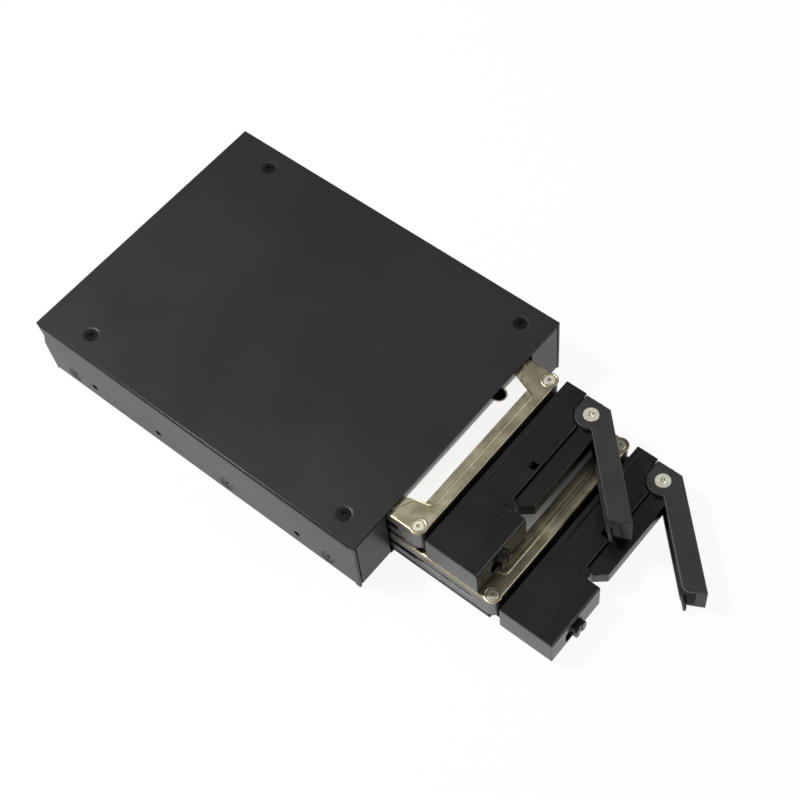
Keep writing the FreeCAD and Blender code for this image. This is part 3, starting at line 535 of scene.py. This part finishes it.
# %% A screw on every point
quarter_turn = math.pi / 2
way = add(screw_tree, "GeometryNodeInputNamedAttribute", {"data_type": "FLOAT_VECTOR"}, {"Name": "facing"})
aim = add(screw_tree, "FunctionNodeAlignRotationToVector", {"axis": "Z"},
          {"Vector": way.outputs["Attribute"]})
chance = add(screw_tree, "FunctionNodeRandomValue", {"data_type": "FLOAT"},
             {2: 0.0, 3: quarter_turn, "Seed": 7})
turn = add(screw_tree, "FunctionNodeAxisAngleToRotation", None,
           {"Axis": (0, 0, 1), "Angle": chance.outputs[1]})
aim = add(screw_tree, "FunctionNodeRotateRotation", {"rotation_space": "LOCAL"},
          {"Rotation": aim.outputs[0], "Rotate By": turn.outputs[0]})
stand = add(screw_tree, "GeometryNodeInstanceOnPoints", None,
            {"Points": given["Geometry"], "Instance": cut.outputs["Mesh"], "Rotation": aim.outputs[0]})
real = add(screw_tree, "GeometryNodeRealizeInstances", None, {"Geometry": stand.outputs[0]})
painted = add(screw_tree, "GeometryNodeSetMaterial", None,
              {"Geometry": real.outputs[0], "Material": given["Material"]})
add(screw_tree, "NodeGroupOutput", None, {"Geometry": painted.outputs[0]})
print("nodes of the screw tree:", len(screw_tree.nodes))

# %% Where the solid screws are
def loose_boxes(node):
    """Lowest and highest corner of each separate solid in a node, in millimetres, in order of place."""
    shape = merged(node)
    left = set(shape.verts)
    boxes = []
    while left:
        group = {left.pop()}
        edge = list(group)
        while edge:
            near = {e.other_vert(v) for v in edge for e in v.link_edges} & left
            left -= near
            group |= near
            edge = list(near)
        corners = [[v.co[i] for v in group] for i in range(3)]
        boxes.append((Vector(min(c) for c in corners), Vector(max(c) for c in corners)))
    shape.free()
    return sorted(boxes, key=lambda box: [round(c, 1) for c in box[0]])


print("cover screws:", len(loose_boxes("cover_screws")), "guide screws:", len(loose_boxes("guide_screws")))

# %% The two kinds of head
# A countersunk head's foot is a little wider than its shank. The rest are shares of a head's own sizes.
foot_margin = 0.05
flat_recess_width = 0.24
flat_recess_depth = 0.75
pan_top = 0.9
pan_recess_depth = 1.6


def flat_head(radius, depth, shank, length, edge, sunk, reach):
    """A countersunk head. Its top lies as far below the surface as sunk says, or above it if negative."""
    return {"Top Radius": radius, "Foot Radius": shank + foot_margin, "Foot Height": -depth,
            "Head Height": depth - sunk, "Edge": edge, "Shank Radius": shank,
            "Shank Length": length - depth, "Recess Width": flat_recess_width * radius,
            "Recess Reach": reach, "Recess Depth": flat_recess_depth * depth, "proud": 0.0}


def pan_head(radius, height, shank, length, edge, width, reach):
    """A low round head that stands on the surface."""
    return {"Top Radius": pan_top * radius, "Foot Radius": radius, "Foot Height": 0.0,
            "Head Height": height, "Edge": edge, "Shank Radius": shank, "Shank Length": length,
            "Recess Width": width, "Recess Reach": reach, "Recess Depth": pan_recess_depth * height,
            "proud": height}


cover_head = flat_head(radius=2.35, depth=0.9, shank=1.45, length=3.9, edge=0.15, sunk=0.28, reach=0.9)
guide_head = flat_head(radius=2.35, depth=0.9, shank=1.45, length=7.9, edge=0.15, sunk=0.28, reach=0.8)
pivot_head = flat_head(radius=2.72, depth=0.95, shank=1.45, length=9.8, edge=0.3, sunk=-0.12, reach=1.0)
mount_head = flat_head(radius=2.4, depth=0.8, shank=1.45, length=3.7, edge=0.1, sunk=0.04, reach=1.2)
board_head = pan_head(radius=2.25, height=1.5, shank=1.2, length=5.9, edge=0.2, width=0.58, reach=0.85)
drive_head = pan_head(radius=1.95, height=0.35, shank=0.78, length=2.9, edge=0.2, width=0.75, reach=0.68)
print("a cover screw's head is", 2 * cover_head["Top Radius"], "mm across")

# %% Stand the screws where their solids are
def made_by(tree, name, points, facings, sizes_mm, material):
    """The plain mesh that a tree makes on these points. Points and sizes are in millimetres."""
    start = bpy.data.meshes.new(name)
    start.from_pydata(points, [], [])
    facing = start.attributes.new("facing", "FLOAT_VECTOR", "POINT")
    facing.data.foreach_set("vector", [c for f in facings for c in f])
    holder = bpy.data.objects.new(name, start)
    scene.collection.objects.link(holder)
    modifier = holder.modifiers.new(name, "NODES")
    modifier.node_group = tree
    for item in tree.interface.items_tree:
        if item.in_out == "INPUT" and item.name in sizes_mm:
            modifier[item.identifier] = sizes_mm[item.name]
        elif item.in_out == "INPUT" and item.name == "Material":
            modifier[item.identifier] = material
    drawn = bpy.data.meshes.new_from_object(holder.evaluated_get(bpy.context.evaluated_depsgraph_get()))
    bpy.data.objects.remove(holder)
    shape = bmesh.new()
    shape.from_mesh(drawn)
    bpy.data.meshes.remove(drawn)
    return to_mesh(name, shape)


def screw_set(node, facing_of, sizes_mm, material):
    """One piece with all the screws of a node. Each faces the way that its place gives."""
    points = []
    facings = []
    for low, high in loose_boxes(node):
        middle = (low + high) / 2
        facing = Vector(facing_of(middle))
        reach = Vector(abs(f) * (h - l) / 2 for f, l, h in zip(facing, low, high)).length
        points.append(middle + facing * (reach - sizes_mm["proud"]))
        facings.append(facing)
    mesh = made_by(screw_tree, node + "_turned", points, facings, sizes_mm, material)
    piece = new_piece(node + "_turned", mesh, body_of_node[node], material, [node])
    print(piece.name, "screws:", len(points), "faces:", len(piece.data.polygons))


screw_set("cover_screws", lambda place: (0, 0, 1), cover_head, black_zinc)
screw_set("guide_screws", lambda place: (math.copysign(1, place.x), 0, 0), guide_head, black_zinc)
screw_set("board_screws", lambda place: (0, -1, 0), board_head, nickel_plate)
for level in levels:
    screw_set(level + "_pivot_screw", lambda place: (0, 0, 1), pivot_head, nickel_plate)
    screw_set(level + "_drive_cover_screws", lambda place: (0, 0, 1), drive_head, nickel_plate)
    screw_set(level + "_drive_mount_screws", lambda place: (0, 0, -1), mount_head, nickel_plate)

# %% [markdown]
# ## Stamped drive covers
# A drive's cover is one thin sheet pressed in a die. Its edge is rounded over. Its middle stands up, with a
# wide, shallow groove inside the step, and leaves the corners free for the screws, each in a raised ring.
# The step and the groove follow one outline at growing insets, so the raised middle is a stack of such
# outlines, one ring of points for each stop of its profile. The outline's corners are listed as in a
# drawing, each with its radius, and one function rounds them.

# %% Outlines with round corners
corner_steps = 8


def rounded(corners):
    """Points along an outline. A corner is (x, y, radius)."""
    points = []
    for i, (x, y, radius) in enumerate(corners):
        here = Vector((x, y))
        back = (Vector(corners[i - 1][:2]) - here).normalized()
        ahead = (Vector(corners[(i + 1) % len(corners)][:2]) - here).normalized()
        half = back.angle(ahead) / 2
        centre = here + (back + ahead).normalized() * (radius / math.sin(half))
        first = here + back * (radius / math.tan(half)) - centre
        last = here + ahead * (radius / math.tan(half)) - centre
        sweep = first.angle_signed(last)
        turns = [sweep * step / corner_steps for step in range(corner_steps + 1)]
        points += [centre + Matrix.Rotation(-turn, 2) @ first for turn in turns]
    return points


sample = rounded([(0, 0, 1), (9, 0, 1), (9, 9, 1), (0, 9, 1)])
print("a square with round corners has", len(sample), "points")

# %% Solids from outlines
def stacked(outlines, heights):
    """A closed solid through outlines of equal length, one above the other."""
    shape = bmesh.new()
    rings = [[shape.verts.new((p.x, p.y, z)) for p in outline] for outline, z in zip(outlines, heights)]
    shape.faces.new(rings[0][::-1])
    shape.faces.new(rings[-1])
    for low, high in zip(rings, rings[1:]):
        for i in range(len(low)):
            shape.faces.new((low[i - 1], low[i], high[i], high[i - 1]))
    bmesh.ops.recalc_face_normals(shape, faces=shape.faces)
    return shape


def circle(x, y, radius, count):
    """Points evenly round a circle."""
    turns = [2 * math.pi * i / count for i in range(count)]
    return [Vector((x + radius * math.cos(t), y + radius * math.sin(t))) for t in turns]


def turned_ring(x, y, profile, count):
    """A ring round an upright axis with this profile of (radius, height)."""
    shape = bmesh.new()
    rings = [[shape.verts.new((p.x, p.y, z)) for p in circle(x, y, radius, count)] for radius, z in profile]
    for one, two in zip(rings, rings[1:] + rings[:1]):
        for i in range(count):
            shape.faces.new((one[i - 1], one[i], two[i], two[i - 1]))
    bmesh.ops.recalc_face_normals(shape, faces=shape.faces)
    return shape


sample = stacked([circle(0, 0, 1, 40)] * 2, [0, 1])
print("a disc 2 mm across holds", round(sample.calc_volume(), 3), "cubic millimetres")
sample.free()

# %% The outlines of a cover
corner_radius = 3.0
# How far the raised middle lies in from the sheet's sides and ends, and how its corners are cut back.
step_from_side = 1.9
step_from_end = 3.0
cut_from_side = 8.4
cut_from_end = 9.0
cut_start = 12.0
cut_slant = 1.5
step_radius = 1.6
cut_radius = 2.2


def edge_outline(low, high, inset):
    """The sheet's own outline, moved in by an inset."""
    radius = corner_radius - inset
    return rounded([(low.x + inset, low.y + inset, radius), (high.x - inset, low.y + inset, radius),
                    (high.x - inset, high.y - inset, radius), (low.x + inset, high.y - inset, radius)])


def step_outline(low, high, inset):
    """The raised middle's outline: in from the edges, with each corner cut back round its screw."""
    side = high.x - step_from_side - inset
    corner = high.x - cut_from_side - inset
    outline = []
    for sx, sy in ((-1, -1), (1, -1), (1, 1), (-1, 1)):
        end = low.y if sy < 0 else high.y
        turns = [(sx * side, end - sy * (cut_start + inset), step_radius),
                 (sx * corner, end - sy * (cut_from_end + inset), cut_radius),
                 (sx * (corner - cut_slant), end - sy * (step_from_end + inset), step_radius)]
        outline += turns if sx * sy > 0 else turns[::-1]
    return rounded(outline)


low, high = (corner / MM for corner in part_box("upper_drive_cover"))
print("points of the step's outline:", len(step_outline(low, high, 0)))

# %% Press the two covers
screw_inset = 2.6
ring_points = 40
vent_from_side = 16.4
vent_from_front = 11.8
vent_radius = 2.2
cut_past = 1
# Stops of (inset, height) for the sheet's edge and the step, and of (radius, height) for a screw's ring.
edge_profile = ((0.0, 0.0), (0.0, 0.15), (0.06, 0.36), (0.18, 0.53), (0.36, 0.64), (0.6, 0.7))
step_profile = ((0.0, 0.2), (0.0, 0.7), (0.1, 0.84), (0.26, 0.95), (0.5, 1.0), (0.8, 1.0), (1.1, 0.96),
                (1.4, 0.93), (1.7, 0.96), (2.0, 1.0))
ring_profile = ((2.15, 0.5), (2.15, 0.76), (2.25, 0.88), (2.45, 0.94), (2.65, 0.9), (2.85, 0.76),
                (2.9, 0.5))
for level in levels:
    node = level + "_drive_cover"
    low, high = (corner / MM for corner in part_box(node))
    sheet_rings = [edge_outline(low, high, inset) for inset, rise in edge_profile]
    mesh = plain(stacked(sheet_rings, [low.z + rise for inset, rise in edge_profile]))
    step_rings = [step_outline(low, high, inset) for inset, rise in step_profile]
    mesh = boolean(mesh, stacked(step_rings, [low.z + rise for inset, rise in step_profile]), "UNION")
    for x in (low.x + screw_inset, high.x - screw_inset):
        for y in (low.y + screw_inset, high.y - screw_inset):
            ring = turned_ring(x, y, [(radius, low.z + rise) for radius, rise in ring_profile], ring_points)
            mesh = boolean(mesh, ring, "UNION")
    vent = circle(high.x - vent_from_side, low.y + vent_from_front, vent_radius, ring_points)
    mesh = boolean(mesh, stacked([vent, vent], [low.z - cut_past, high.z + cut_past]), "DIFFERENCE")
    shape = bmesh.new()
    shape.from_mesh(mesh)
    mesh = to_mesh(node + "_pressed", shape)
    piece = new_piece(node + "_pressed", mesh, body_of_node[node], stamped_cover, [node])
    print(piece.name, "faces:", len(piece.data.polygons))

# %% [markdown]
# ## Contact strips
# The ports at the rear and the plug on each drive have rows of gold strips on a plastic tongue, seven for
# data and fifteen for power. A row is a rule too, so a second tree puts a thin bar on every point of it.

# %% The strip tree
strip_tree, given = new_tree("strips", ("Width", "Length", "Thickness"))
size = add(strip_tree, "ShaderNodeCombineXYZ", None,
           {"X": given["Width"], "Y": given["Length"], "Z": given["Thickness"]})
bar = add(strip_tree, "GeometryNodeMeshCube", None, {"Size": size.outputs[0]})
stand = add(strip_tree, "GeometryNodeInstanceOnPoints", None,
            {"Points": given["Geometry"], "Instance": bar.outputs["Mesh"]})
real = add(strip_tree, "GeometryNodeRealizeInstances", None, {"Geometry": stand.outputs[0]})
painted = add(strip_tree, "GeometryNodeSetMaterial", None,
              {"Geometry": real.outputs[0], "Material": given["Material"]})
add(strip_tree, "NodeGroupOutput", None, {"Geometry": painted.outputs[0]})
print("nodes of the strip tree:", len(strip_tree.nodes))

# %% Strips in the ports
strip = {"Width": 0.7, "Length": 3.2, "Thickness": 0.06}
data_count = 7
power_count = 15
port_data_pitch = 1.05
port_power_pitch = 1.25
port_tongue = 0.7
behind_mouth = 3.2


def strips(name, node, rows):
    """Rows of strips along X. A row is (middle of the row, how many, pitch), in millimetres."""
    points = []
    for middle, count, pitch in rows:
        first = middle.x - pitch * (count - 1) / 2
        points += [Vector((first + pitch * i, middle.y, middle.z)) for i in range(count)]
    mesh = made_by(strip_tree, name, points, [(0, 0, 1)] * len(points), strip, contact_gold)
    piece = new_piece(name, mesh, body_of_node[node], contact_gold)
    print(piece.name, "strips:", len(points))


for node, count, pitch in (("left_data_port", data_count, port_data_pitch),
                           ("right_data_port", data_count, port_data_pitch),
                           ("power_port", power_count, port_power_pitch)):
    low, high = (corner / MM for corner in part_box(node))
    middle = (low + high) / 2
    faces = [Vector((middle.x, high.y - behind_mouth, middle.z + side * port_tongue)) for side in (-1, 1)]
    strips(node + "_strips", node, [(face, count, pitch) for face in faces])

# %% Strips on the drives' plugs
plug_pitch = 1.27
plug_tongue = 0.6
behind_tip = 1.9
data_row = 8.5
power_row = 26.5
for level in levels:
    node = level + "_drive_connector"
    low, high = (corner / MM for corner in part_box(node))
    top = (low.z + high.z) / 2 + plug_tongue
    rows = [(Vector((low.x + along, high.y - behind_tip, top)), count, plug_pitch)
            for along, count in ((data_row, data_count), (power_row, power_count))]
    strips(level + "_plug_strips", node, rows)

# %% [markdown]
# ## The stage and the light
# The photograph is a plain studio shot on white. The floor is matt white paper. What the camera sees of it
# is nearly all an even white, with a little of its real shading, which keeps the object's shadow. What a
# glossy surface mirrors of it is mostly that white too. The main lamp stands high at the rear left: in the
# photograph the upper tray shades the lower drive in front of it. A weaker, wider one fills in from the
# front right, and a white surround, brighter overhead than at the horizon, does the rest.

# %% The paper of the floor
seen_white = 0.92
mirrored_white = 0.7
fibre_mm = 2.0
fibre_depth_mm = 0.01

paper = bpy.data.materials.new("matt_white_paper")
paper.use_nodes = True
tree = paper.node_tree
tree.nodes.clear()
place = add(tree, "ShaderNodeTexCoord").outputs["Object"]
fibre = add(tree, "ShaderNodeTexNoise", None, {"Vector": place, "Scale": grain(fibre_mm)})
bump = add(tree, "ShaderNodeBump", None,
           {"Height": fibre.outputs["Fac"], "Distance": fibre_depth_mm * MM})
shaded = add(tree, "ShaderNodeBsdfDiffuse", None,
             {"Color": colour("#f4f4f4"), "Normal": bump.outputs["Normal"]})
white = add(tree, "ShaderNodeEmission", None, {"Color": colour("#ffffff"), "Strength": 1.0})
path = add(tree, "ShaderNodeLightPath")
mirrored = add(tree, "ShaderNodeMath", {"operation": "MAXIMUM"},
               {0: path.outputs["Is Glossy Ray"], 1: path.outputs["Is Transmission Ray"]})
part = add(tree, "ShaderNodeMath", {"operation": "MULTIPLY"}, {0: mirrored.outputs[0], 1: mirrored_white})
share = add(tree, "ShaderNodeMath", {"operation": "MULTIPLY_ADD"},
            {0: path.outputs["Is Camera Ray"], 1: seen_white, 2: part.outputs[0]})
mix = add(tree, "ShaderNodeMixShader", None,
          {0: share.outputs[0], 1: shaded.outputs[0], 2: white.outputs[0]})
add(tree, "ShaderNodeOutputMaterial", None, {"Surface": mix.outputs[0]})
print("nodes of the paper:", len(tree.nodes))

# %% The floor and the surround
floor_reach = 6
horizon_light = 0.08
overhead_light = 0.28

floor_mesh = bpy.data.meshes.new("floor")
floor_corners = [(-floor_reach, -floor_reach, 0), (floor_reach, -floor_reach, 0),
                 (floor_reach, floor_reach, 0), (-floor_reach, floor_reach, 0)]
floor_mesh.from_pydata(floor_corners, [], [(0, 1, 2, 3)])
floor_mesh.materials.append(paper)
floor = bpy.data.objects.new("floor", floor_mesh)
scene.collection.objects.link(floor)

world = bpy.data.worlds.new("white_surround")
world.use_nodes = True
tree = world.node_tree
direction = add(tree, "ShaderNodeTexCoord").outputs["Generated"]
looked_along = add(tree, "ShaderNodeSeparateXYZ", None, {0: direction})
brightness = add(tree, "ShaderNodeMapRange", None,
                 {"Value": looked_along.outputs["Z"], "To Min": horizon_light, "To Max": overhead_light})
tree.nodes["Background"].inputs["Color"].default_value = colour("#ffffff")
tree.links.new(brightness.outputs["Result"], tree.nodes["Background"].inputs["Strength"])
scene.world = world
print("surround:", horizon_light, "at the horizon,", overhead_light, "overhead")

# %% The lamps
lamp_aim = Vector((0, -0.03, 0.01))


def softbox(name, place, wide, high, power):
    """A rectangular lamp that looks at the object."""
    lamp = bpy.data.objects.new(name, bpy.data.lights.new(name, "AREA"))
    lamp.data.shape = "RECTANGLE"
    lamp.data.size = wide
    lamp.data.size_y = high
    lamp.data.energy = power
    lamp.location = place
    lamp.rotation_euler = (lamp_aim - lamp.location).to_track_quat("-Z", "Y").to_euler()
    scene.collection.objects.link(lamp)
    print(name, "power:", power, "W")


softbox("rear_left_softbox", place=(-0.28, 0.42, 0.86), wide=0.2, high=0.2, power=9.6)
softbox("front_right_softbox", place=(0.38, -0.78, 0.5), wide=0.6, high=0.3, power=1.8)

# %% [markdown]
# ## The camera
# The photograph was taken from the front left and well above. The camera's place, turn and focal length
# come from a fit of the housing's corners to their places in the photograph, so the render lies over it.

# %% Place the camera
camera_azimuth = -44.287
camera_elevation = 57.474
camera_roll = 7.323
camera_place = Vector((-194.06, -242.54, 456.02)) * MM
camera_focal_px = 1649.28
image_px = 800
sensor_width = 36.0
nearest_seen = 0.02

azimuth, elevation, roll = (math.radians(a) for a in (camera_azimuth, camera_elevation, camera_roll))
back = Vector((math.sin(azimuth) * math.cos(elevation), -math.cos(azimuth) * math.cos(elevation),
               math.sin(elevation)))
level_right = Vector((0, 0, 1)).cross(back).normalized()
level_up = back.cross(level_right)
right = level_right * math.cos(roll) - level_up * math.sin(roll)
up = level_right * math.sin(roll) + level_up * math.cos(roll)
camera = bpy.data.objects.new("camera", bpy.data.cameras.new("camera"))
camera.data.sensor_width = sensor_width
camera.data.lens = camera_focal_px / image_px * sensor_width
camera.data.clip_start = nearest_seen
camera.matrix_world = Matrix.Translation(camera_place) @ Matrix((right, up, back)).transposed().to_4x4()
scene.collection.objects.link(camera)
scene.camera = camera
scene.view_settings.view_transform = "Standard"
print("lens:", round(camera.data.lens, 2), "mm")
